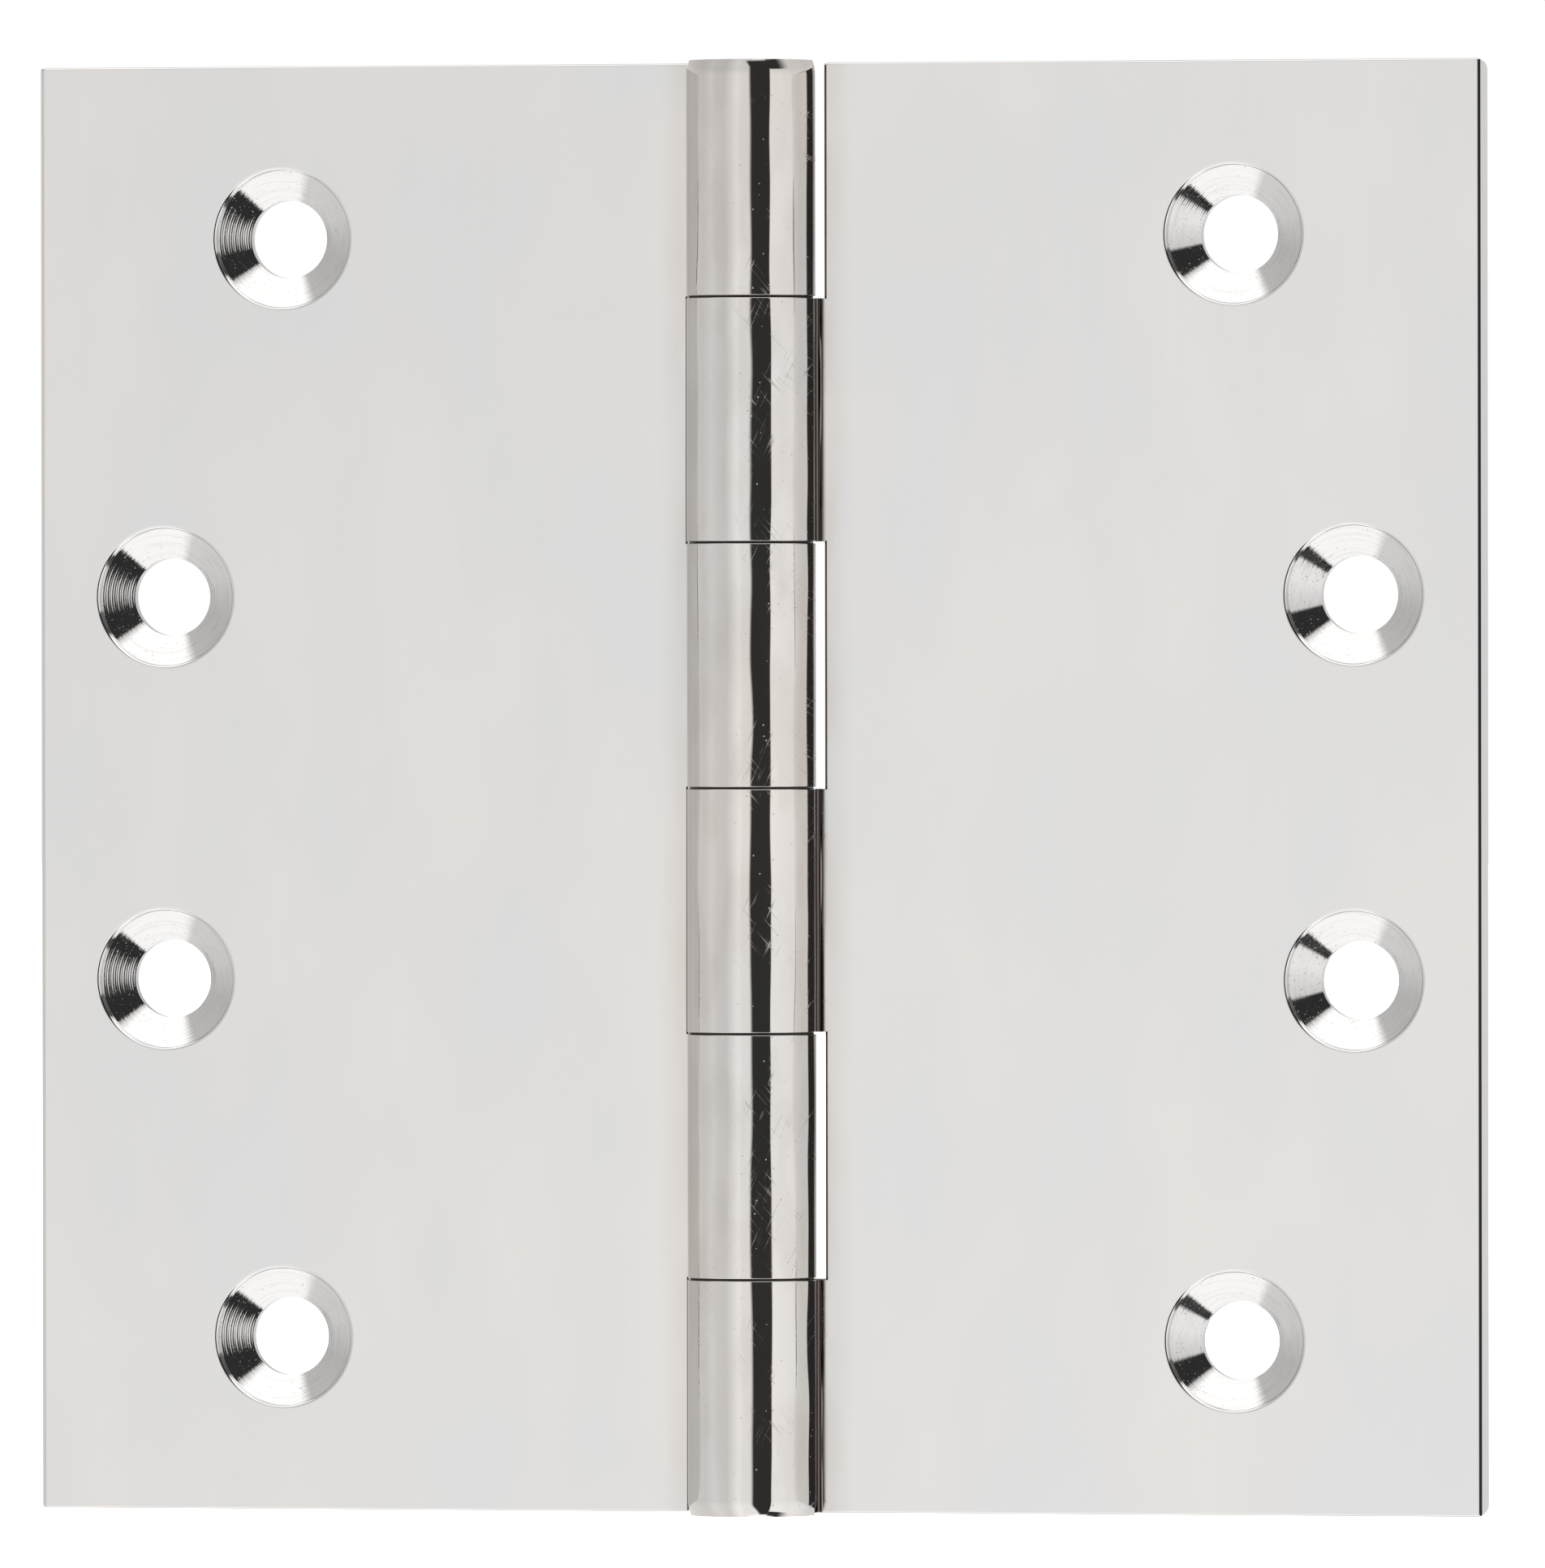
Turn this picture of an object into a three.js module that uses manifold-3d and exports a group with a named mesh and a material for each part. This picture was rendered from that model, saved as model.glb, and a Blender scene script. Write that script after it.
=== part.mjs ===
// Butt hinge with six plain knuckles, shown open flat.
// Millimetres. The pin runs up +Z through the origin, at mid height.
// The countersunk faces look along -Y, the backs of the leaves along +Y.
import * as THREE from 'three';
import { mergeVertices } from 'three/addons/utils/BufferGeometryUtils.js';
import Module from 'manifold-3d';

// Leaves
const leafHeight = 100;
const leafReach = 51;            // pin axis to the outer edge of a leaf
const leafThickness = 3;
const leafEdgeRound = 0.35;      // rounding worked onto every edge of the plate
const swingGap = 0.3;            // between a knuckle and the plate edge it swings past

// Barrel
const barrelLength = 100.3;
const barrelRadius = 4.45;
const knuckleCount = 6;
const knucklePitch = 16.92;
const knuckleGap = 0.26;
const knuckleEndRound = 0.4;     // on the two outer ends of the barrel
const knuckleJointRound = 0.12;  // where two knuckles face each other
const webFillet = 0.5;           // hollow radius where a knuckle runs into its leaf

// Pin
const pinRadius = 2;
const boreRadius = 2.08;
const pinRecess = 0.15;          // how far each pin end sits inside the barrel
const pinEndChamfer = 0.3;

// Screw holes, for countersunk wood screws
const screwHoleRadius = 2.7;
const countersinkRadius = 4.75;
const countersinkLip = 0.8;      // straight wall between the leaf's face and the cone
const countersinkHalfAngle = 58; // degrees
const screwHoles = [             // distance from the pin axis, height
  { out: 33.7, up: 38.05 },
  { out: 42.1, up: 13.25 },
  { out: 42.1, up: -13.25 },
  { out: 33.7, up: -38.05 },
];

const barrelSegments = 56;
const boreSegments = 40;
const holeSegments = 32;
const filletSteps = 5;

const leafBack = barrelRadius;   // the backs are level with the back of the barrel
const leafFront = leafBack - leafThickness;
const cutThrough = 1;            // how far a cutting shape runs past what it cuts

const wasm = await Module();
wasm.setup();

// A closed three.js shape as a solid that can be joined or cut.
function solidFrom(geometry) {
  geometry.deleteAttribute('normal');
  geometry.deleteAttribute('uv');
  const merged = mergeVertices(geometry, 1e-4);
  return new wasm.Manifold(new wasm.Mesh({
    numProp: 3,
    vertProperties: new Float32Array(merged.attributes.position.array),
    triVerts: new Uint32Array(merged.index.array),
  }));
}

function geometryFrom(solid) {
  const mesh = solid.getMesh();
  const geometry = new THREE.BufferGeometry();
  geometry.setAttribute('position', new THREE.BufferAttribute(new Float32Array(mesh.vertProperties), 3));
  geometry.setIndex(new THREE.BufferAttribute(new Uint32Array(mesh.triVerts), 1));
  geometry.computeVertexNormals();
  return geometry;
}

// A turned shape from a profile of [radius, height] points, with a corner on the Y axis.
function turned(profile, segments) {
  const points = profile.map(([radius, height]) => new THREE.Vector2(radius, height));
  const geometry = new THREE.LatheGeometry(points, segments);
  geometry.rotateX(Math.PI / 2);
  return geometry;
}

// A turned shape stood along Z.
function turnedUpright(profile, segments) {
  return solidFrom(turned(profile, segments));
}

// Bottom and top of each knuckle, counted from the top of the barrel.
function knuckleSpan(index) {
  const middle = (knuckleCount - 1) / 2;
  const isTop = index === 0;
  const isBottom = index === knuckleCount - 1;
  const jointAbove = (middle - index + 0.5) * knucklePitch - knuckleGap / 2;
  const jointBelow = (middle - index - 0.5) * knucklePitch + knuckleGap / 2;
  return {
    top: isTop ? barrelLength / 2 : jointAbove,
    bottom: isBottom ? -barrelLength / 2 : jointBelow,
    topRound: isTop ? knuckleEndRound : knuckleJointRound,
    bottomRound: isBottom ? knuckleEndRound : knuckleJointRound,
  };
}

// The round part of a knuckle, with its two edges broken.
function knuckleRound(span) {
  return turnedUpright([
    [0, span.bottom],
    [barrelRadius - span.bottomRound, span.bottom],
    [barrelRadius, span.bottom + span.bottomRound],
    [barrelRadius, span.top - span.topRound],
    [barrelRadius - span.topRound, span.top],
    [0, span.top],
  ], barrelSegments);
}

// The web that carries a knuckle on its leaf: flush at the back, hollow at the front.
function knuckleWeb(span) {
  const filletMiddleY = leafFront - webFillet;
  const reach = barrelRadius + webFillet;
  const filletMiddleX = -Math.sqrt(reach ** 2 - filletMiddleY ** 2);
  const touchAngle = Math.atan2(-filletMiddleY, -filletMiddleX);
  const outline = new THREE.Shape();
  outline.moveTo(0, leafBack);
  outline.lineTo(-barrelRadius - swingGap - leafEdgeRound * 2, leafBack);
  outline.lineTo(-barrelRadius - swingGap - leafEdgeRound * 2, leafFront);
  for (let step = 0; step <= filletSteps; step += 1) {
    const angle = Math.PI / 2 + (touchAngle - Math.PI / 2) * (step / filletSteps);
    outline.lineTo(filletMiddleX + webFillet * Math.cos(angle), filletMiddleY + webFillet * Math.sin(angle));
  }
  outline.lineTo(0, 0);
  const top = Math.min(span.top - span.topRound, leafHeight / 2 - leafEdgeRound);
  const bottom = Math.max(span.bottom + span.bottomRound, -leafHeight / 2 + leafEdgeRound);
  const geometry = new THREE.ExtrudeGeometry(outline, { depth: top - bottom, bevelEnabled: false });
  geometry.translate(0, 0, bottom);
  return solidFrom(geometry);
}

// The flat plate, on the -X side, with rounded edges.
function leafPlate() {
  const inner = -barrelRadius - swingGap - leafEdgeRound;
  const outer = -leafReach + leafEdgeRound;
  const half = leafHeight / 2 - leafEdgeRound;
  const outline = new THREE.Shape();
  outline.moveTo(outer, -half);
  outline.lineTo(inner, -half);
  outline.lineTo(inner, half);
  outline.lineTo(outer, half);
  const geometry = new THREE.ExtrudeGeometry(outline, {
    depth: leafThickness - leafEdgeRound * 2,
    bevelThickness: leafEdgeRound,
    bevelSize: leafEdgeRound,
    bevelSegments: 2,
  });
  geometry.rotateX(Math.PI / 2);
  geometry.translate(0, leafBack - leafEdgeRound, 0);
  return solidFrom(geometry);
}

// What is cut out of a leaf for one countersunk screw.
function screwHoleCutter(hole) {
  const slope = Math.tan(THREE.MathUtils.degToRad(countersinkHalfAngle));
  const coneDepth = (countersinkRadius - screwHoleRadius) / slope;
  const geometry = turned([
    [0, -cutThrough],
    [countersinkRadius, -cutThrough],
    [countersinkRadius, countersinkLip],
    [screwHoleRadius, countersinkLip + coneDepth],
    [screwHoleRadius, leafThickness + cutThrough],
    [0, leafThickness + cutThrough],
  ], holeSegments);
  geometry.rotateX(-Math.PI / 2);
  geometry.translate(-hole.out, leafFront, hole.up);
  return solidFrom(geometry);
}

function boreCutter() {
  const half = barrelLength / 2 + cutThrough;
  return turnedUpright([[0, -half], [boreRadius, -half], [boreRadius, half], [0, half]], boreSegments);
}

// One leaf on the -X side carrying every second knuckle, starting with the top one.
function leafGeometry() {
  let leaf = leafPlate();
  for (let index = 0; index < knuckleCount; index += 2) {
    const span = knuckleSpan(index);
    leaf = leaf.add(knuckleRound(span)).add(knuckleWeb(span));
  }
  for (const hole of screwHoles) {
    leaf = leaf.subtract(screwHoleCutter(hole));
  }
  return geometryFrom(leaf.subtract(boreCutter()));
}

function pinGeometry() {
  const half = barrelLength / 2 - pinRecess;
  return geometryFrom(turnedUpright([
    [0, -half],
    [pinRadius - pinEndChamfer, -half],
    [pinRadius, -half + pinEndChamfer],
    [pinRadius, half - pinEndChamfer],
    [pinRadius - pinEndChamfer, half],
    [0, half],
  ], boreSegments));
}

function polishedMetal(colour) {
  return new THREE.MeshStandardMaterial({ color: colour, roughness: 0.18, metalness: 1 });
}

const hinge = new THREE.Group();
hinge.name = 'butt_hinge';

const frameLeaf = new THREE.Mesh(leafGeometry(), polishedMetal('#d6d4d1'));
frameLeaf.name = 'frame_leaf';
hinge.add(frameLeaf);

// Both leaves are the same piece; the door leaf is turned end for end.
const doorLeaf = new THREE.Mesh(leafGeometry(), polishedMetal('#d9d7d5'));
doorLeaf.name = 'door_leaf';
doorLeaf.rotation.y = Math.PI;
hinge.add(doorLeaf);

const pin = new THREE.Mesh(pinGeometry(), polishedMetal('#b9b7b3'));
pin.name = 'hinge_pin';
hinge.add(pin);

export default hinge;
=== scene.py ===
import math
import random

import bmesh
import bpy
from mathutils import Euler, Matrix, Vector


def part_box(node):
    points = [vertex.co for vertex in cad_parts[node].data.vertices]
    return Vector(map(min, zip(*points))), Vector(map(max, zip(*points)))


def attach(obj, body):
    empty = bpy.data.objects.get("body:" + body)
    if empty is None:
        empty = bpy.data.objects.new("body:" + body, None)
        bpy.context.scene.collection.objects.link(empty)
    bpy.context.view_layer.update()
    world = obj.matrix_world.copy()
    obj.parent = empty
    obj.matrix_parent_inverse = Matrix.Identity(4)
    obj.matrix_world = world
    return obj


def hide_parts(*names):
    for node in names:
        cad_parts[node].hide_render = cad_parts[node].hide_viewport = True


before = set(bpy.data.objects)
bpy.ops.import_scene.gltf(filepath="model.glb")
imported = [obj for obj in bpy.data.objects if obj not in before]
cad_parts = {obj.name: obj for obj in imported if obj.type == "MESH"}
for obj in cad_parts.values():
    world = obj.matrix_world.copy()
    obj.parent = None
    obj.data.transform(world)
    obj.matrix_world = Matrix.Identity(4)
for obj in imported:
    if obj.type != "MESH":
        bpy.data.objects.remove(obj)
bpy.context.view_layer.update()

mm = 0.001
leafLow, leafHigh = (Vector(corner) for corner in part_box("frame_leaf"))
pinLow, pinHigh = (Vector(corner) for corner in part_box("hinge_pin"))
barrelRadius = -leafLow.y
barrelEnd = leafHigh.z           # the top knuckle stands a little proud of its leaf
leafBack = leafHigh.y            # level with the back of the barrel
leafOuter = leafLow.x
leafHalfHeight = -leafLow.z

leafShape = {
    "thickness": 3.0 * mm,
    "swingGap": 0.3 * mm,                        # plate edge to the other leaf's knuckles
    "cornerRound": (0.16 * mm, 0.80 * mm),       # at the front face and at the back
    "cornerSteps": 4,
    "sideRoll": (0.30 * mm, 0.085 * mm, 2.0),    # buffed outer edge: width, drop, how late it drops
    "endRoll": (0.15 * mm, 0.085 * mm, 2.0),     # top and bottom edge, left crisper
    "backRoll": (0.7 * mm, 0.5 * mm, 2.6),
    "innerRoll": (0.3 * mm, 0.26 * mm, 2.4),     # beside the barrel
    "rollSteps": 9,
}
leafFront = leafBack - leafShape["thickness"]

knuckleShape = {
    "count": 6,                  # on the whole barrel; each leaf carries every second one
    "pitch": 16.92 * mm,
    "gap": 0.16 * mm,
    "endRoll": 1.1 * mm,         # height that the buffing has drawn in at the barrel's two ends
    "endPower": 2.2,
    "jointRoll": (0.05 * mm, 0.035 * mm, 2.2),
    "rollSteps": 7,
    "bossRadius": 4.28 * mm,     # raised bearing face round the pin, which the joint line ends on
    "bossRise": 0.07 * mm,
    "fillet": 0.25 * mm,         # hollow where the barrel runs into the leaf
    "filletSteps": 14,
    "overlap": 0.3 * mm,         # how far the web reaches into the plate
    "facets": 240,
    "boreRadius": 2.08 * mm,
}

screwShape = {
    "outerPair": (42.1 * mm, 13.25 * mm),    # out from the pin, up and down from the middle
    "innerPair": (33.7 * mm, 38.05 * mm),
    "holeRadius": 2.7 * mm,
    "rimRadius": 4.75 * mm,
    "rimRoll": (0.26 * mm, 0.12 * mm, 2.6),  # buffed over outside the straight lip
    "rimSteps": 6,
    "lipDepth": 0.8 * mm,
    "backBreak": 0.12 * mm,      # edge broken at the back
    "runPast": 0.2 * mm,         # how far the cutter runs past the leaf
    "marks": 15,                 # turning marks on the cone
    "markLean": 3.2,             # degrees that a mark leans the surface, at most
    "leastShare": 0.25,          # of that lean, at least
    "markSteps": 4,
    "facets": 112,
    "seed": 7,
}

leafKinds = {
    "frameLeaf": {"coneAngle": 58.8, "endTilt": 22.0},    # degrees
    "doorLeaf": {"coneAngle": 58.1, "endTilt": 24.0},
}

pinShape = {
    "crown": 0.12 * mm,          # how far the ends are domed
    "chamfer": 0.3 * mm,
    "shoulder": 0.55,            # how far out, as a share of the radius, the dome starts to bend down
    "shoulderDrop": 0.3,         # share of the crown lost there
    "facets": 96,
    "boreRunPast": 1 * mm,       # how far the boring tool runs past the barrel
}


# plain mesh helpers

def newObject(name, bm):
    bmesh.ops.recalc_face_normals(bm, faces=bm.faces)
    mesh = bpy.data.meshes.new(name)
    bm.to_mesh(mesh)
    bm.free()
    made = bpy.data.objects.new(name, mesh)
    bpy.context.scene.collection.objects.link(made)
    return made


def bridged(bm, rings):
    # rings are closed loops of the same length, or a single vertex at a pole
    for lower, upper in zip(rings, rings[1:]):
        for k in range(max(len(lower), len(upper))):
            corners = [lower[k % len(lower)], lower[(k + 1) % len(lower)],
                       upper[(k + 1) % len(upper)], upper[k % len(upper)]]
            bm.faces.new(list(dict.fromkeys(corners)))


def revolved(name, profile, facets, axis="Z"):
    # profile holds (radius, distance along the axis), and starts and ends on the axis
    bm = bmesh.new()
    rings = []
    for radius, along in profile:
        ring = []
        for k in range(facets if radius > 0 else 1):
            turn = 2 * math.pi * k / facets
            across, up = radius * math.cos(turn), radius * math.sin(turn)
            ring.append(bm.verts.new((across, up, along) if axis == "Z" else (across, along, up)))
        rings.append(ring)
    bridged(bm, rings)
    return newObject(name, bm)


def lofted(name, levels):
    # levels are closed outlines one above the other, capped at both ends
    bm = bmesh.new()
    rings = [[bm.verts.new(point) for point in level] for level in levels]
    bridged(bm, rings)
    bm.faces.new(rings[0][::-1])
    bm.faces.new(rings[-1])
    return newObject(name, bm)


def rollDrop(inward, roll):
    # how far a buffed edge has dropped at a distance in from the edge
    width, drop, power = roll
    return drop * max(0.0, 1 - inward / width) ** power


def rollInward(dropped, roll):
    # the other way round: how far in from the edge it has dropped so much
    width, drop, power = roll
    return width * (1 - min(1.0, max(0.0, dropped) / drop) ** (1 / power))


def rollPoints(roll, steps):
    # (distance in from the edge, drop), starting at the edge
    return [(roll[0] * k / steps, rollDrop(roll[0] * k / steps, roll)) for k in range(steps + 1)]


def plainMesh(made):
    # the evaluated shape becomes the object's own mesh, and its modifiers go
    evaluated = made.evaluated_get(bpy.context.evaluated_depsgraph_get())
    mesh = bpy.data.meshes.new_from_object(evaluated)
    made.modifiers.clear()
    made.data = mesh
    return made


def combined(target, tool, operation):
    step = target.modifiers.new(operation, "BOOLEAN")
    step.operation = operation
    step.solver = "MANIFOLD"
    step.object = tool
    plainMesh(target)
    bpy.data.objects.remove(tool)
    return target


# geometry nodes helpers

def inputSocket(tree, name, kind, value=None):
    socket = tree.interface.new_socket(name, in_out="INPUT", socket_type=kind)
    if value is not None:
        socket.default_value = value
    return socket


def newTree(name):
    tree = bpy.data.node_groups.new(name, "GeometryNodeTree")
    inputSocket(tree, "Geometry", "NodeSocketGeometry")
    tree.interface.new_socket("Geometry", in_out="OUTPUT", socket_type="NodeSocketGeometry")
    return tree


def addNode(tree, kind, inputs=None, **settings):
    node = tree.nodes.new(kind)
    for key, value in settings.items():
        setattr(node, key, value)
    for key, value in (inputs or {}).items():
        if isinstance(value, bpy.types.NodeSocket):
            tree.links.new(value, node.inputs[key])
        else:
            node.inputs[key].default_value = value
    return node


def pointPair(tree, start, apart):
    # two points, one straight above the other
    inputs = {"Count": 2, "Start Location": start, "Offset": apart}
    return addNode(tree, "GeometryNodeMeshLine", inputs).outputs[0]


def repeatedPiece(tree, source, points, extra, material):
    # the piece from the object socket stands on every point; extra geometry is joined to it
    piece = addNode(tree, "GeometryNodeObjectInfo", {"Object": source}).outputs["Geometry"]
    placed = addNode(tree, "GeometryNodeInstanceOnPoints", {"Points": points, "Instance": piece})
    joined = addNode(tree, "GeometryNodeJoinGeometry")
    for part in (placed.outputs[0], extra):
        tree.links.new(part, joined.inputs[0])
    real = addNode(tree, "GeometryNodeRealizeInstances", {"Geometry": joined.outputs[0]}).outputs[0]
    painted = addNode(tree, "GeometryNodeSetMaterial", {"Geometry": real, "Material": material})
    addNode(tree, "NodeGroupOutput", {"Geometry": painted.outputs[0]})


def combineVector(tree, x, y, z):
    return addNode(tree, "ShaderNodeCombineXYZ", {"X": x, "Y": y, "Z": z}).outputs[0]


def scaledValue(tree, value, factor):
    return addNode(tree, "ShaderNodeMath", {0: value, 1: factor}, operation="MULTIPLY").outputs[0]


def withNodes(made, tree, **values):
    # inputs are set by identifier before the object is first evaluated
    step = made.modifiers.new(tree.name, "NODES")
    step.node_group = tree
    for item in tree.interface.items_tree:
        if item.in_out == "INPUT" and item.name in values:
            step[item.identifier] = values[item.name]
    return plainMesh(made)


# one leaf, modelled on the -X side

def plateOutline(outward, endward, inward, height):
    # outline at one depth: the insets of the outer side, of top and bottom, and of the side by the barrel
    left = leafOuter + outward
    right = -barrelRadius - leafShape["swingGap"] - inward
    half = leafHalfHeight - endward
    depth = (height - leafFront) / leafShape["thickness"]
    atFront, atBack = leafShape["cornerRound"]
    radius, steps = atFront + (atBack - atFront) * depth, leafShape["cornerSteps"]
    corners = [(right, -half, -90), (right, half, 0), (left, half, 90), (left, -half, 180)]
    outline = []
    for x, z, start in corners:
        middleX = x - math.copysign(radius, x - (left + right) / 2)
        middleZ = z - math.copysign(radius, z)
        for step in range(steps + 1):
            turn = math.radians(start + 90 * step / steps)
            outline.append((middleX + radius * math.cos(turn), height, middleZ + radius * math.sin(turn)))
    return outline


def plateBody():
    steps = leafShape["rollSteps"]
    levels = []
    for _, dropped in rollPoints(leafShape["sideRoll"], steps)[::-1]:
        insets = [rollInward(dropped, leafShape[name]) for name in ("sideRoll", "endRoll", "innerRoll")]
        levels.append(plateOutline(*insets, leafFront + dropped))
    for outward, dropped in rollPoints(leafShape["backRoll"], steps):
        beside = rollInward(dropped, leafShape["innerRoll"])
        levels.append(plateOutline(outward, outward, beside, leafBack - dropped))
    return lofted("plate", levels)


def knuckleBarrel(bottom, top, bottomRoll, topRoll, isEnd):
    steps = knuckleShape["rollSteps"]
    lower = [(barrelRadius - drop, bottom + inward) for inward, drop in rollPoints(bottomRoll, steps)]
    upper = [(barrelRadius - drop, top - inward) for inward, drop in rollPoints(topRoll, steps)]
    boss, rise = knuckleShape["bossRadius"], knuckleShape["bossRise"]
    profile = [(0, bottom - rise), (boss, bottom - rise), (boss, bottom)] + lower + upper[::-1]
    profile += [(0, top)] if isEnd else [(boss, top), (boss, top + rise), (0, top + rise)]
    return revolved("knuckle", profile, knuckleShape["facets"])


def webOutline(frontDrop, backDrop, height):
    # flush with the leaf's back, hollow at its front
    fillet = knuckleShape["fillet"]
    middleY = leafFront - fillet
    middleX = -math.sqrt((barrelRadius + fillet) ** 2 - middleY ** 2)
    touch = math.atan2(-middleY, -middleX)
    inner = -barrelRadius - leafShape["swingGap"] - leafShape["innerRoll"][0] - knuckleShape["overlap"]
    outline = [(0, leafBack - backDrop), (inner, leafBack - backDrop), (inner, leafFront + frontDrop)]
    for k in range(knuckleShape["filletSteps"] + 1):
        turn = math.pi / 2 + (touch - math.pi / 2) * k / knuckleShape["filletSteps"]
        reach = fillet + frontDrop
        outline.append((middleX + reach * math.cos(turn), middleY + reach * math.sin(turn)))
    outline.append((0, 0))
    return [(x, y, height) for x, y in outline]


def knuckleWeb(bottom, top, frontRoll, backRoll):
    # frontRoll and backRoll shape its top end; its bottom end is always a joint
    steps = leafShape["rollSteps"]
    jointRoll = knuckleShape["jointRoll"]
    lower = [webOutline(drop, drop, bottom + inward) for inward, drop in rollPoints(jointRoll, steps)]
    upper = [webOutline(drop, rollDrop(inward, backRoll), top - inward)
             for inward, drop in rollPoints(frontRoll, steps)]
    return lofted("web", lower + upper[::-1])


def knuckle(index, endTilt):
    middle = (knuckleShape["count"] - 1) / 2
    top = (middle - index + 0.5) * knuckleShape["pitch"] - knuckleShape["gap"] / 2
    bottom = (middle - index - 0.5) * knuckleShape["pitch"] + knuckleShape["gap"] / 2
    jointRoll = knuckleShape["jointRoll"]
    if index > 0:
        barrel = knuckleBarrel(bottom, top, jointRoll, jointRoll, False)
        return combined(barrel, knuckleWeb(bottom, top, jointRoll, jointRoll), "UNION")
    height, power = knuckleShape["endRoll"], knuckleShape["endPower"]
    endRoll = (height, math.tan(math.radians(endTilt)) * height / power, power)
    barrel = knuckleBarrel(bottom, barrelEnd, jointRoll, endRoll, True)
    web = knuckleWeb(bottom, leafHalfHeight, leafShape["endRoll"], leafShape["backRoll"])
    return combined(barrel, web, "UNION")


def knuckleTree(material):
    tree = newTree("knuckleRow")
    inputSocket(tree, "Knuckle", "NodeSocketObject")
    inputSocket(tree, "Spacing", "NodeSocketFloat", 2 * knuckleShape["pitch"])
    given = addNode(tree, "NodeGroupInput")
    down = combineVector(tree, 0.0, 0.0, scaledValue(tree, given.outputs["Spacing"], -1))
    points = pointPair(tree, (0, 0, 0), down)
    repeatedPiece(tree, given.outputs["Knuckle"], points, given.outputs["Geometry"], material)
    return tree


def screwTree(material):
    tree = newTree("screwHoles")
    inputSocket(tree, "Cutter", "NodeSocketObject")
    pairs = ("Outer pair", "Inner pair")
    for name in pairs:
        inputSocket(tree, name + " out", "NodeSocketFloat")
        inputSocket(tree, name + " up", "NodeSocketFloat")
    given = addNode(tree, "NodeGroupInput")
    rows = addNode(tree, "GeometryNodeJoinGeometry")
    for name in pairs:
        out, up = given.outputs[name + " out"], given.outputs[name + " up"]
        start = combineVector(tree, scaledValue(tree, out, -1), leafFront, up)
        down = combineVector(tree, 0.0, 0.0, scaledValue(tree, up, -2))
        tree.links.new(pointPair(tree, start, down), rows.inputs[0])
    repeatedPiece(tree, given.outputs["Cutter"], rows.outputs[0], given.outputs["Geometry"], material)
    return tree


def coneMarks(start, end):
    # points down the cone, leaning a little in and out where the tool left its marks
    chance = random.Random(screwShape["seed"])
    count = screwShape["marks"]
    along = [(end[0] - start[0]) / count, (end[1] - start[1]) / count]
    length = math.hypot(*along)
    aside = (along[1] / length, -along[0] / length)
    points = []
    for mark in range(count):
        lean = math.radians(chance.uniform(screwShape["leastShare"], 1) * screwShape["markLean"])
        depth = math.tan(lean) * length / math.pi
        for step in range(screwShape["markSteps"]):
            part = step / screwShape["markSteps"]
            push = depth * math.sin(math.pi * part) ** 2
            points.append((start[0] + along[0] * (mark + part) + aside[0] * push,
                           start[1] + along[1] * (mark + part) + aside[1] * push))
    return points + [end]


def screwCutter(coneAngle):
    rim, lip = screwShape["rimRadius"], screwShape["lipDepth"]
    thickness, over = leafShape["thickness"], screwShape["runPast"]
    hole, backEdge = screwShape["holeRadius"], screwShape["backBreak"]
    rimPoints = rollPoints(screwShape["rimRoll"], screwShape["rimSteps"])
    softRim = [(rim + inward, drop) for inward, drop in rimPoints]
    coneDepth = (rim - hole) / math.tan(math.radians(coneAngle))
    profile = [(0, -over), (softRim[-1][0], -over)] + softRim[::-1]
    profile += coneMarks((rim, lip), (hole, lip + coneDepth))
    profile += [(hole, thickness - backEdge), (hole + backEdge, thickness)]
    profile += [(hole + backEdge, thickness + over), (0, thickness + over)]
    return revolved("cutter", profile, screwShape["facets"], axis="Y")


def boreTool():
    half = barrelEnd + pinShape["boreRunPast"]
    return revolved("bore", [(0, -half), (knuckleShape["boreRadius"], -half),
                             (knuckleShape["boreRadius"], half), (0, half)], knuckleShape["facets"] // 2)


def leafMesh(name, polished, turned):
    kind = leafKinds[name]
    leaf = plateBody()
    leaf.name = name
    repeated = knuckle(2, kind["endTilt"])
    row = withNodes(knuckle(0, kind["endTilt"]), knuckleTree(polished),
                    Knuckle=repeated, Spacing=2 * knuckleShape["pitch"])
    bpy.data.objects.remove(repeated)
    combined(leaf, row, "UNION")
    cutter = screwCutter(kind["coneAngle"])
    holder = bpy.data.objects.new("holes", bpy.data.meshes.new("holes"))
    bpy.context.scene.collection.objects.link(holder)
    outerOut, outerUp = screwShape["outerPair"]
    innerOut, innerUp = screwShape["innerPair"]
    withNodes(holder, screwTree(turned), Cutter=cutter, **{
        "Outer pair out": outerOut, "Outer pair up": outerUp,
        "Inner pair out": innerOut, "Inner pair up": innerUp,
    })
    bpy.data.objects.remove(cutter)
    combined(leaf, holder, "DIFFERENCE")
    combined(leaf, boreTool(), "DIFFERENCE")
    return leaf


finishing = {
    "rimMargin": 0.02 * mm,      # faces up to this far outside a rim still count as turned
    "bossMargin": 0.01 * mm,
    "endMargin": 1.0 * mm,       # joints are further than this from the leaf's ends
    "flatEnough": 0.995,
    "levelEnough": 0.9,
    "sharpAngle": 32,            # degrees
    "normalWeight": 50,
}


def sharpEdges(mesh, degrees):
    bm = bmesh.new()
    bm.from_mesh(mesh)
    for edge in bm.edges:
        edge.smooth = edge.calc_face_angle(math.pi) < math.radians(degrees)
    bm.to_mesh(mesh)
    bm.free()


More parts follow.
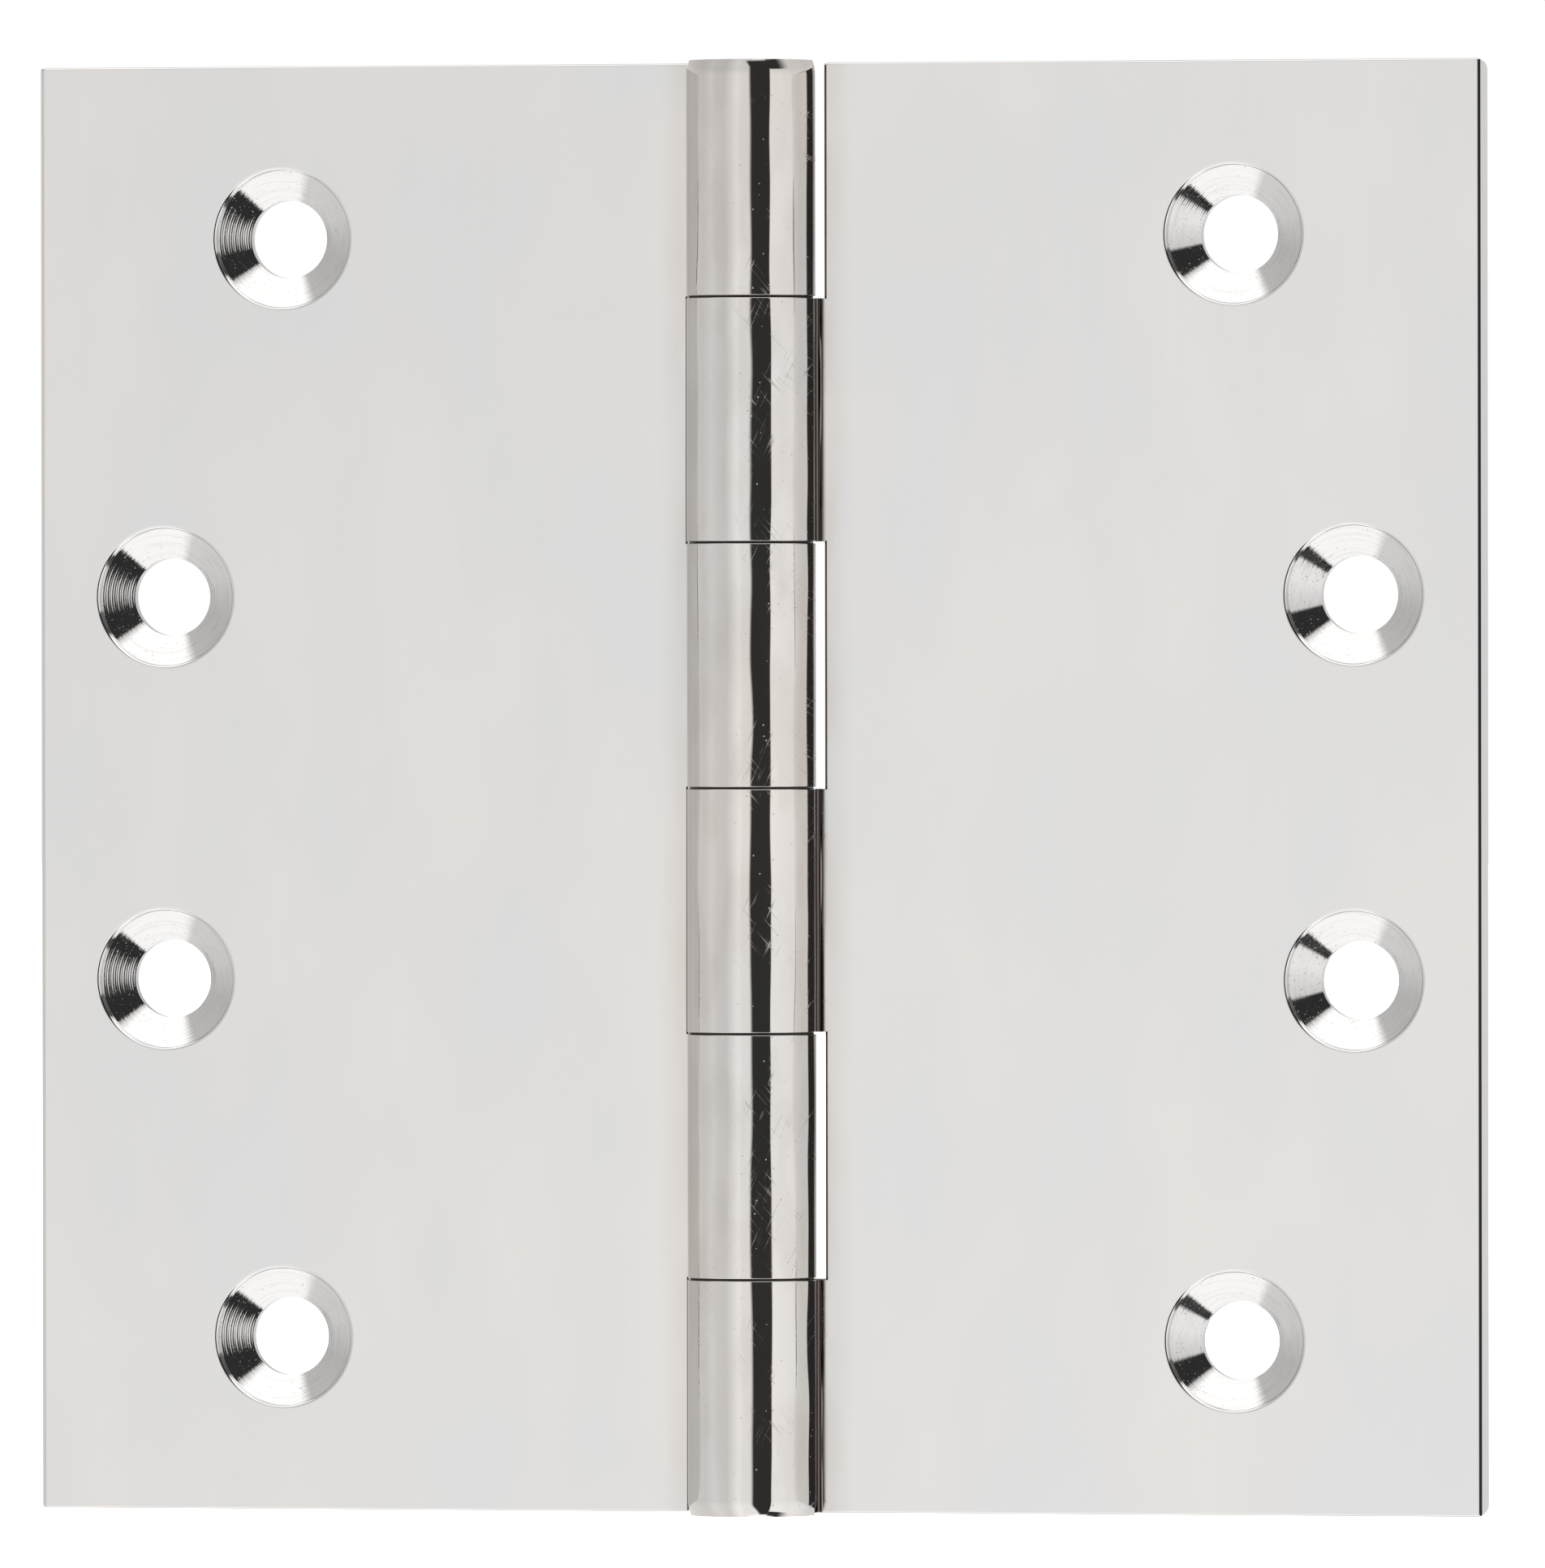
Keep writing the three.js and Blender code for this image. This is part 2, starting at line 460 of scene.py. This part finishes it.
def finishLeaf(leaf, polished, turned, jointShadow):
    # materials by place, then smooth shading that keeps the big faces flat
    mesh = leaf.data
    mesh.materials.clear()
    for material in (polished, turned, jointShadow):
        mesh.materials.append(material)
    pairs = (screwShape["outerPair"], screwShape["innerPair"])
    centres = [Vector((side * out, up * sign))
               for out, up in pairs for side in (-1, 1) for sign in (-1, 1)]
    reach = screwShape["rimRadius"] + finishing["rimMargin"]
    jointReach = leafHalfHeight - finishing["endMargin"]
    for face in mesh.polygons:
        face.use_smooth = True
        place = Vector((face.center.x, face.center.z))
        isFlat = abs(face.normal.y) > finishing["flatEnough"]
        inHole = not isFlat and any((place - centre).length < reach for centre in centres)
        fromAxis = math.hypot(face.center.x, face.center.y)
        onBoss = abs(fromAxis - knuckleShape["bossRadius"]) < finishing["bossMargin"]
        isLevel = abs(face.normal.z) > finishing["levelEnough"]
        inJoint = abs(face.center.z) < jointReach and (isLevel or onBoss)
        # faces in the joints get the painted shadow material
        face.material_index = 1 if inHole else 2 if inJoint else 0
    sharpEdges(mesh, finishing["sharpAngle"])
    step = leaf.modifiers.new("normals", "WEIGHTED_NORMAL")
    step.mode = "FACE_AREA"
    step.weight = finishing["normalWeight"]
    step.keep_sharp = True
    return plainMesh(leaf)


def pinMesh():
    half, radius = pinHigh.z, pinHigh.x
    chamfer, crown = pinShape["chamfer"], pinShape["crown"]
    dome = [(radius - chamfer, half - crown),
            (radius * pinShape["shoulder"], half - crown * pinShape["shoulderDrop"]), (0, half)]
    upper = [(radius, half - crown - chamfer)] + dome
    lower = [(r, -z) for r, z in upper[::-1]]
    return revolved("hingePin", lower + upper, pinShape["facets"])


# materials

def newMaterial(name):
    material = bpy.data.materials.new(name)
    material.use_nodes = True
    return material, material.node_tree, material.node_tree.nodes["Principled BSDF"]


def mathNode(tree, operation, first, second=0.0):
    return addNode(tree, "ShaderNodeMath", {0: first, 1: second}, operation=operation).outputs[0]


def productOf(tree, first, *others):
    for other in others:
        first = mathNode(tree, "MULTIPLY", first, other)
    return first


def softStep(tree, value, start, end, low=0.0, high=1.0):
    # low up to start, high from end, a soft step between
    node = addNode(tree, "ShaderNodeMapRange", {
        "Value": value, "From Min": start, "From Max": end, "To Min": low, "To Max": high,
    }, interpolation_type="SMOOTHSTEP", clamp=True)
    return node.outputs["Result"]


def bandBetween(tree, value, start, full, fading, gone):
    # 1 between full and fading, 0 before start and after gone
    rising = softStep(tree, value, start, full)
    return productOf(tree, rising, softStep(tree, value, fading, gone, 1.0, 0.0))


def mixedValue(tree, share, first, second):
    return addNode(tree, "ShaderNodeMix", {0: share, 2: first, 3: second}, data_type="FLOAT").outputs[0]


def mixedColour(tree, share, first, second, blend="MIX"):
    inputs = {0: share}
    for index, colour in ((6, first), (7, second)):
        inputs[index] = colour if isinstance(colour, bpy.types.NodeSocket) else (*colour, 1)
    return addNode(tree, "ShaderNodeMix", inputs, data_type="RGBA", blend_type=blend).outputs[2]


def placeVector(tree, stretch=(1, 1, 1)):
    place = addNode(tree, "ShaderNodeTexCoord").outputs["Object"]
    return addNode(tree, "ShaderNodeVectorMath", {0: place, 1: stretch}, operation="MULTIPLY").outputs[0]


def cloudy(tree, size, stretch=(1, 1, 1), detail=2.0, vector=None):
    # noise from 0 to 1 whose patches are about size across
    place = vector or placeVector(tree, stretch)
    node = addNode(tree, "ShaderNodeTexNoise", {"Vector": place, "Scale": 1 / size, "Detail": detail})
    return node.outputs["Fac"]


def bumped(tree, height, rise, below=None):
    # rise is the height in metres that a change of 1 stands for, below a normal to add it to
    inputs = {"Height": height, "Distance": rise, "Strength": 1.0}
    if below is not None:
        inputs["Normal"] = below
    return addNode(tree, "ShaderNodeBump", inputs).outputs["Normal"]


buffing = {
    "coolTone": (0.704, 0.700, 0.698),
    "warmTone": (0.736, 0.712, 0.692),
    "tonePatch": 9 * mm,
    "toneStretch": (1, 1, 0.45),             # patches are longer upwards where the last number is small
    "toneShift": (0.35, 0.68),
    "barrelTone": (1.035, 1.008, 0.980),     # the barrel's tint over those tones
    "blotchTone": (0.975, 0.940, 0.908),     # duller patches on the barrel
    "blotchSize": 2.6 * mm,
    "blotchStretch": (1, 1, 0.4),
    "blotchShift": (0.40, 0.60),
    "waveSize": 5.5 * mm,        # slow waves that buffing leaves in the surface
    "waveStretch": (1, 1, 0.5),
    "waveRise": 0.24 * mm,
    "leafShare": 0.09,           # of that rise on the flat leaves
    "lineSize": 0.45 * mm,       # fine upright buffing lines
    "lineStretch": (1, 1, 0.06),
    "lineRise": 0.00018 * mm,
    "rough": (0.03, 0.075),      # along the lines
    "roughShift": (0.3, 0.75),
    "leafStart": 0.2 * mm,       # how far outside the barrel it takes to become leaf
}

# painted shade beside the barrel: a darker, rougher film on the leaf, and a dark tone in the corner
barrelShadeAndFilm = {
    "reach": (2.7 * mm, 0.3 * mm),           # painted shade on the leaf beside the barrel: a darker, rougher film fading outwards
    "tone": (0.885, 0.862, 0.828),
    "rough": 0.10,
    "patch": 2.4 * mm,
    "patchStretch": (1, 1, 0.3),
    "patchShift": (0.2, 0.75),
    "thinnest": 0.45,
    "cornerShadeTone": (0.15, 0.125, 0.115),      # painted shade in the corner between barrel and leaf
    "flank": (-0.1 * mm, 0.3 * mm),          # where it starts on the barrel, behind its widest line
    "flankInner": (-0.6 * mm, -0.4 * mm),    # measured from the barrel's radius
    "strip": (0.10 * mm, 0.24 * mm),         # width on the leaf's front
    "leafDepth": (0.1 * mm, 0.3 * mm),       # fading behind the leaf's front
}

wear = {
    "speckSpacing": 0.8 * mm,
    "speckShare": 0.062,         # radius as a share of the spacing
    "speckEdge": 1.4,
    "speckRough": 0.5,
    "scratchTurns": (22, -38),   # degrees from upright
    "scratchSize": 0.09 * mm,
    "scratchLong": 30,           # times as long as wide
    "scratchShift": (0.67, 0.76),
    "scratchPatch": 5 * mm,
    "patchShift": (0.42, 0.58),
    "scratchRough": 0.26,
    "leafShare": 0.12,           # of all this on the flat leaves
}


def outward(tree):
    # distance from the barrel's middle plane, the same on both leaves
    parts = addNode(tree, "ShaderNodeSeparateXYZ", {0: placeVector(tree)})
    return mathNode(tree, "ABSOLUTE", parts.outputs["X"])


# where the leaf beside the barrel is painted darker as shade and made rougher, broken into patches
def filmAndShadeMask(tree, out, onLeaf):
    far, near = barrelShadeAndFilm["reach"]
    filmAndShade = softStep(tree, out, barrelRadius + far, barrelRadius + near)
    patches = cloudy(tree, barrelShadeAndFilm["patch"], barrelShadeAndFilm["patchStretch"])
    broken = softStep(tree, patches, *barrelShadeAndFilm["patchShift"], barrelShadeAndFilm["thinnest"], 1.0)
    return productOf(tree, filmAndShade, onLeaf, broken)


def cornerShadeMask(tree, out):
    # painted shade on the barrel's flank behind its widest line, and on the first strip of the leaf's
    # front
    back = addNode(tree, "ShaderNodeSeparateXYZ", {0: placeVector(tree)}).outputs["Y"]
    depths = [leafFront + depth for depth in barrelShadeAndFilm["leafDepth"]]
    edges = [barrelRadius + edge for edge in (*barrelShadeAndFilm["flankInner"], *barrelShadeAndFilm["strip"])]
    behind = bandBetween(tree, back, *barrelShadeAndFilm["flank"], *depths)
    return productOf(tree, behind, bandBetween(tree, out, *edges))


def metalColour(tree, out, onLeaf, filmAndShade):
    patch = cloudy(tree, buffing["tonePatch"], buffing["toneStretch"], 3.0)
    shift = softStep(tree, patch, *buffing["toneShift"])
    tone = mixedColour(tree, shift, buffing["coolTone"], buffing["warmTone"])
    blotch = cloudy(tree, buffing["blotchSize"], buffing["blotchStretch"], 4.0)
    blotch = softStep(tree, blotch, *buffing["blotchShift"])
    barrelTone = mixedColour(tree, blotch, buffing["barrelTone"], buffing["blotchTone"])
    tint = mixedColour(tree, onLeaf, barrelTone, (1, 1, 1))
    # the leaf beside the barrel is painted darker as shade
    tint = mixedColour(tree, filmAndShade, tint, barrelShadeAndFilm["tone"])
    colour = mixedColour(tree, 1.0, tone, tint, "MULTIPLY")
    # the corner between barrel and leaf is painted dark as shade
    return mixedColour(tree, cornerShadeMask(tree, out), colour, barrelShadeAndFilm["cornerShadeTone"])


def specks(tree):
    cells = addNode(tree, "ShaderNodeTexVoronoi",
                    {"Vector": placeVector(tree), "Scale": 1 / wear["speckSpacing"], "Randomness": 1.0})
    share = wear["speckShare"]
    dot = softStep(tree, cells.outputs["Distance"], share * wear["speckEdge"], share)
    return mathNode(tree, "MULTIPLY", dot, wear["speckRough"])


def scratches(tree, turn):
    # hairlines across the buffing, in patches
    inputs = {
        "Vector": placeVector(tree, (1, 0, 1)),
        "Rotation": (0, math.radians(turn), 0),
        "Scale": (1, 1, wear["scratchLong"]),
    }
    turned = addNode(tree, "ShaderNodeMapping", inputs, vector_type="TEXTURE").outputs[0]
    lines = cloudy(tree, wear["scratchSize"], detail=0.0, vector=turned)
    patches = softStep(tree, cloudy(tree, wear["scratchPatch"]), *wear["patchShift"])
    return productOf(tree, softStep(tree, lines, *wear["scratchShift"]), patches, wear["scratchRough"])


def metalRough(tree, lines, onLeaf, filmAndShade):
    rough = softStep(tree, lines, *buffing["roughShift"], *buffing["rough"])
    shown = softStep(tree, onLeaf, 0.0, 1.0, 1.0, wear["leafShare"])
    for mark in [specks(tree)] + [scratches(tree, turn) for turn in wear["scratchTurns"]]:
        rough = mathNode(tree, "ADD", rough, productOf(tree, mark, shown))
    return mathNode(tree, "ADD", rough, mathNode(tree, "MULTIPLY", filmAndShade, barrelShadeAndFilm["rough"]))


def metalWaves(tree, onLeaf):
    waves = cloudy(tree, buffing["waveSize"], buffing["waveStretch"], 1.0)
    slow = mathNode(tree, "SUBTRACT", waves, 0.5)
    slow = mathNode(tree, "MULTIPLY", slow, mixedValue(tree, onLeaf, 1.0, buffing["leafShare"]))
    return bumped(tree, slow, buffing["waveRise"])


def polishedNickel():
    material, tree, shader = newMaterial("polishedNickel")
    out = outward(tree)
    onLeaf = softStep(tree, out, barrelRadius, barrelRadius + buffing["leafStart"])
    filmAndShade = filmAndShadeMask(tree, out, onLeaf)
    lines = cloudy(tree, buffing["lineSize"], buffing["lineStretch"], 4.0)
    tree.links.new(metalColour(tree, out, onLeaf, filmAndShade), shader.inputs["Base Color"])
    tree.links.new(metalRough(tree, lines, onLeaf, filmAndShade), shader.inputs["Roughness"])
    normal = bumped(tree, lines, buffing["lineRise"], metalWaves(tree, onLeaf))
    tree.links.new(normal, shader.inputs["Normal"])
    shader.inputs["Metallic"].default_value = 1
    return material


def holeDistance(tree):
    # distance from the middle of the nearest screw hole, the same on both leaves
    flat = placeVector(tree, (1, 0, 1))
    folded = addNode(tree, "ShaderNodeVectorMath", {0: flat}, operation="ABSOLUTE").outputs[0]
    distances = []
    for out, up in (screwShape["outerPair"], screwShape["innerPair"]):
        node = addNode(tree, "ShaderNodeVectorMath", {0: folded, 1: (out, 0, up)}, operation="DISTANCE")
        distances.append(node.outputs["Value"])
    return mathNode(tree, "MINIMUM", *distances)


ringShape = {
    "toneShift": (0.44, 0.80),
    "patch": 0.5 * mm,
    "roughShift": (0.3, 0.75),
    "nickSize": 0.14 * mm,       # nicks that show as dull dots
    "nickShift": (0.66, 0.74),
    "nickRough": 0.35,
}

turning = {
    "tone": (0.668, 0.655, 0.645),
    "dullTone": (0.590, 0.572, 0.560),
    "ringSize": 0.13 * mm,       # fine rings from the cutter
    "ringRise": 0.0007 * mm,
    "arcSize": 1.5 * mm,         # how far round a ring runs before it fades
    "rough": (0.025, 0.09),
}


def ringVector(tree, distance, arcSize, ringSize):
    # noise read along this vector is drawn out into rings
    along = addNode(tree, "ShaderNodeVectorMath",
                    {0: placeVector(tree), 1: (ringSize / arcSize,) * 3}, operation="MULTIPLY").outputs[0]
    spread = combineVector(tree, distance, 0.0, 0.0)
    return addNode(tree, "ShaderNodeVectorMath", {0: along, 1: spread}, operation="ADD").outputs[0]


def ringMetal(name, values, distance):
    material, tree, shader = newMaterial(name)
    vector = ringVector(tree, distance(tree), values["arcSize"], values["ringSize"])
    rings = cloudy(tree, values["ringSize"], vector=vector, detail=3.0)
    share = softStep(tree, rings, *ringShape["toneShift"])
    colour = mixedColour(tree, share, values["tone"], values["dullTone"])
    tree.links.new(colour, shader.inputs["Base Color"])
    patches = cloudy(tree, ringShape["patch"], detail=3.0)
    rough = softStep(tree, patches, *ringShape["roughShift"], *values["rough"])
    nicks = cloudy(tree, ringShape["nickSize"], detail=1.0)
    nicks = softStep(tree, nicks, *ringShape["nickShift"], 0.0, ringShape["nickRough"])
    tree.links.new(mathNode(tree, "ADD", rough, nicks), shader.inputs["Roughness"])
    tree.links.new(bumped(tree, rings, values["ringRise"]), shader.inputs["Normal"])
    shader.inputs["Metallic"].default_value = 1
    return material


pinFinish = {                    # the pin's ends, left as sawn and filed
    "tone": (0.46, 0.45, 0.43),
    "dullTone": (0.34, 0.325, 0.305),
    "ringSize": 0.14 * mm,
    "ringRise": 0.002 * mm,
    "arcSize": 2.0 * mm,
    "rough": (0.18, 0.34),
}


def pinDistance(tree):
    flat = placeVector(tree, (1, 1, 0))
    return addNode(tree, "ShaderNodeVectorMath", {0: flat}, operation="LENGTH").outputs["Value"]


jointShadowFinish = {                  # painted shadow in the joint lines, near black where the narrow gap is in shade
    "patch": 0.9 * mm,
    "patchShift": (0.3, 0.7),
    "gapShadowTone": (0.010, 0.008, 0.007),
    "gapShadowPatchTone": (0.050, 0.036, 0.028),
    "rough": (0.45, 0.8),
    "rise": 0.01 * mm,
}


def paintedJointShadow():
    material, tree, shader = newMaterial("paintedJointShadow")
    patch = softStep(tree, cloudy(tree, jointShadowFinish["patch"], detail=4.0), *jointShadowFinish["patchShift"])
    # painted shadow: near black, with patches a little less dark
    colour = mixedColour(tree, patch, jointShadowFinish["gapShadowTone"], jointShadowFinish["gapShadowPatchTone"])
    tree.links.new(colour, shader.inputs["Base Color"])
    tree.links.new(softStep(tree, patch, 0.0, 1.0, *jointShadowFinish["rough"]), shader.inputs["Roughness"])
    tree.links.new(bumped(tree, patch, jointShadowFinish["rise"]), shader.inputs["Normal"])
    return material


polished = polishedNickel()
turned = ringMetal("turnedNickel", turning, holeDistance)
steel = ringMetal("pinSteel", pinFinish, pinDistance)
jointShadow = paintedJointShadow()
print("materials ready")

frameLeaf = finishLeaf(leafMesh("frameLeaf", polished, turned), polished, turned, jointShadow)
doorLeaf = finishLeaf(leafMesh("doorLeaf", polished, turned), polished, turned, jointShadow)
doorLeaf.data.transform(Matrix.Rotation(math.pi, 4, "Y"))     # the same leaf turned end for end
for leaf in (frameLeaf, doorLeaf):
    print(leaf.name, len(leaf.data.polygons), "faces")
hingePin = pinMesh()
hingePin.data.materials.append(steel)

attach(frameLeaf, "frame_side")
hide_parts("frame_leaf")
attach(doorLeaf, "door_side")
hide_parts("door_leaf")
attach(hingePin, "frame_side")
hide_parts("hinge_pin")


# light: a white tent round the hinge, and a black card at the camera's right that the barrel mirrors

tent = {
    "radius": 3.0,               # metres
    "around": 64,                # faces round the dome and up it
    "upward": 32,
    "white": 1.12,               # brightness of the cloth
    "cloth": [                   # degrees round from the front towards +X, and the share of white there
        (-180, 0.68), (-128, 0.70), (-100, 0.68), (-82, 0.66), (-62, 0.74), (-50, 0.68),
        (-34, 0.66), (-24, 0.78), (-16, 0.885), (-11, 0.93), (-4, 0.86), (10, 0.84),
        (44, 0.86), (50, 0.94), (62, 0.92), (90, 0.885), (130, 0.73), (180, 0.68),
    ],
    "falloff": 0.010,            # share lost for each degree up, gained for each degree down
    "falloffEnd": 14,
    "roof": (1.42, 1.60),        # brightness underneath and overhead
    "roofBlend": (-1, 1),        # degrees up or down where one becomes the other
    "zenith": (66, 74, 0.55),    # straight up and down it is dimmer: from and to how steep, share left
    "roofStart": (45, 53),       # degrees up or down
    "roofDip": (-10, 25, 7.5),   # it starts lower at the card's side: from and to how far round, how much
    "cardLeft": (8.5, 14.5),     # the black card's soft left edge, degrees round
    "cardRight": (46.4, 48.4),
    "cardLean": 0.06,            # the right edge's lean, degrees round for each degree up
    "cardTop": (36.5, 39),
    "cardFoot": (41, 43.5),      # degrees down
    "cardBlack": 0.037,
    "flare": (-9.0, 18, 44),     # the card's left edge leans out above: how far, from and to what height
    "hem": (15.0, 8, 46),        # and in below
    "armStart": (42, 46),        # two dark arms reach on to the right from its upper and lower corners
    "armEnd": (66, 96),
    "upperArm": (13, 17, 37.5, 41),      # degrees up
    "lowerArm": (30, 34, 43, 46),        # degrees down
}


def tentDirections(tree):
    # degrees round from the front towards +X, and degrees up
    place = addNode(tree, "ShaderNodeTexCoord").outputs["Object"]
    unit = addNode(tree, "ShaderNodeVectorMath", {0: place}, operation="NORMALIZE").outputs[0]
    parts = addNode(tree, "ShaderNodeSeparateXYZ", {0: unit})
    front = mathNode(tree, "MULTIPLY", parts.outputs["Y"], -1)
    toDegrees = 180 / math.pi
    around = mathNode(tree, "MULTIPLY", mathNode(tree, "ARCTAN2", parts.outputs["X"], front), toDegrees)
    height = mathNode(tree, "MULTIPLY", mathNode(tree, "ARCSINE", parts.outputs["Z"]), toDegrees)
    return around, height


def clothLevel(tree, around, height):
    share = mathNode(tree, "MULTIPLY_ADD", around, 1 / 360)
    share.node.inputs[2].default_value = 0.5
    ramp = addNode(tree, "ShaderNodeValToRGB", {0: share})
    stops = ramp.color_ramp.elements
    while len(stops) < len(tent["cloth"]):
        stops.new(0.5)
    for stop, (degrees, level) in zip(stops, tent["cloth"]):
        stop.position = degrees / 360 + 0.5
    for stop, (degrees, level) in zip(stops, tent["cloth"]):
        stop.color = (level, level, level, 1)
    ending = tent["falloffEnd"]
    gradient = addNode(tree, "ShaderNodeMapRange", {
        "Value": height, "From Min": -ending, "From Max": ending,
        "To Min": 1 + ending * tent["falloff"], "To Max": 1 - ending * tent["falloff"],
    }, clamp=True).outputs["Result"]
    return productOf(tree, ramp.outputs[0], tent["white"], gradient)


def roofedLevel(tree, around, height, cloth):
    # the cloth, and the brighter roof and underside beyond it
    steep = mathNode(tree, "ABSOLUTE", height)
    dipStart, dipEnd, dip = tent["roofDip"]
    steeper = mathNode(tree, "ADD", steep, softStep(tree, around, dipStart, dipEnd, 0.0, dip))
    zenithStart, zenithEnd, zenithLevel = tent["zenith"]
    roof = softStep(tree, height, *tent["roofBlend"], *tent["roof"])
    dimmer = softStep(tree, steep, zenithStart, zenithEnd, 1.0, zenithLevel)
    roof = mathNode(tree, "MULTIPLY", roof, dimmer)
    return mixedValue(tree, softStep(tree, steeper, *tent["roofStart"]), cloth, roof)


def cardShare(tree, around, height, down):
    # 1 on the black card
    flare, flareStart, flareEnd = tent["flare"]
    hem, hemStart, hemEnd = tent["hem"]
    above = softStep(tree, height, flareStart, flareEnd, 0.0, flare)
    lean = mathNode(tree, "ADD", above, softStep(tree, down, hemStart, hemEnd, 0.0, hem))
    inFromLeft = softStep(tree, mathNode(tree, "SUBTRACT", around, lean), *tent["cardLeft"])
    leaning = mathNode(tree, "SUBTRACT", around, mathNode(tree, "MULTIPLY", height, tent["cardLean"]))
    inFromRight = softStep(tree, leaning, *tent["cardRight"], 1.0, 0.0)
    belowTop = softStep(tree, height, *tent["cardTop"], 1.0, 0.0)
    aboveFoot = softStep(tree, down, *tent["cardFoot"], 1.0, 0.0)
    return productOf(tree, inFromLeft, inFromRight, belowTop, aboveFoot)


def armShare(tree, around, height, down):
    # 1 on the card's two arms
    upper = bandBetween(tree, height, *tent["upperArm"])
    lower = bandBetween(tree, down, *tent["lowerArm"])
    along = bandBetween(tree, around, *tent["armStart"], *tent["armEnd"])
    return productOf(tree, mathNode(tree, "MAXIMUM", upper, lower), along)


def tentMaterial():
    material, tree, shader = newMaterial("tentCloth")
    around, height = tentDirections(tree)
    down = mathNode(tree, "MULTIPLY", height, -1)
    lit = roofedLevel(tree, around, height, clothLevel(tree, around, height))
    card = cardShare(tree, around, height, down)
    covered = mathNode(tree, "MAXIMUM", card, armShare(tree, around, height, down))
    level = mixedValue(tree, covered, lit, tent["cardBlack"])
    glow = addNode(tree, "ShaderNodeEmission", {"Strength": level})
    tree.links.new(glow.outputs[0], tree.nodes["Material Output"].inputs["Surface"])
    tree.nodes.remove(shader)
    return material


def tentDome():
    bm = bmesh.new()
    around, upward = tent["around"], tent["upward"]
    bmesh.ops.create_uvsphere(bm, u_segments=around, v_segments=upward, radius=tent["radius"])
    made = newObject("lightTent", bm)
    made.data.materials.append(tentMaterial())
    made.visible_camera = False


floor = {
    "below": 4.0 * mm,           # under the leaves' lower edges
    "size": 12.0,                # metres
    "tone": (0.80, 0.80, 0.79),
    "rough": 0.8,
    "level": 1.04,               # its own brightness, for a plain white ground
}


def studioFloor():
    bm = bmesh.new()
    bmesh.ops.create_grid(bm, x_segments=1, y_segments=1, size=floor["size"] / 2)
    for vert in bm.verts:
        vert.co.z = -leafHalfHeight - floor["below"]
    made = newObject("floor", bm)
    material, tree, shader = newMaterial("paleFloor")
    shader.inputs["Base Color"].default_value = (*floor["tone"], 1)
    shader.inputs["Roughness"].default_value = floor["rough"]
    shader.inputs["Emission Color"].default_value = (1, 1, 1, 1)
    shader.inputs["Emission Strength"].default_value = floor["level"]
    made.data.materials.append(material)
    made.visible_glossy = False          # the mirror faces see the tent all the way down


camera = {
    "azimuth": 13.13,            # degrees round from the front towards +X
    "height": 8.0 * mm,
    "distance": 1666 * mm,
    "turn": 13.08,               # degrees, as are tilt and roll
    "tilt": -0.266,
    "roll": 0.079,
    "lens": 554.8,
    "sensor": 36,
    "farEnd": 50,                # metres
}


def placeCamera():
    data = bpy.data.cameras.new("camera")
    data.lens = camera["lens"]
    data.sensor_width = camera["sensor"]
    data.clip_end = camera["farEnd"]
    made = bpy.data.objects.new("camera", data)
    bpy.context.scene.collection.objects.link(made)
    angle = math.radians(camera["azimuth"])
    away = camera["distance"]
    made.location = (math.sin(angle) * away, -math.cos(angle) * away, camera["height"])
    tilt = math.radians(90 + camera["tilt"])
    roll = math.radians(camera["roll"])
    made.rotation_euler = Euler((tilt, roll, math.radians(camera["turn"])))
    bpy.context.scene.camera = made


def plainWorld():
    world = bpy.data.worlds.new("studio")
    bpy.context.scene.world = world
    world.use_nodes = True
    background = world.node_tree.nodes["Background"]
    background.inputs["Color"].default_value = (1, 1, 1, 1)
    background.inputs["Strength"].default_value = 1.0


tentDome()
studioFloor()
plainWorld()
placeCamera()
bpy.context.scene.view_settings.view_transform = "Standard"
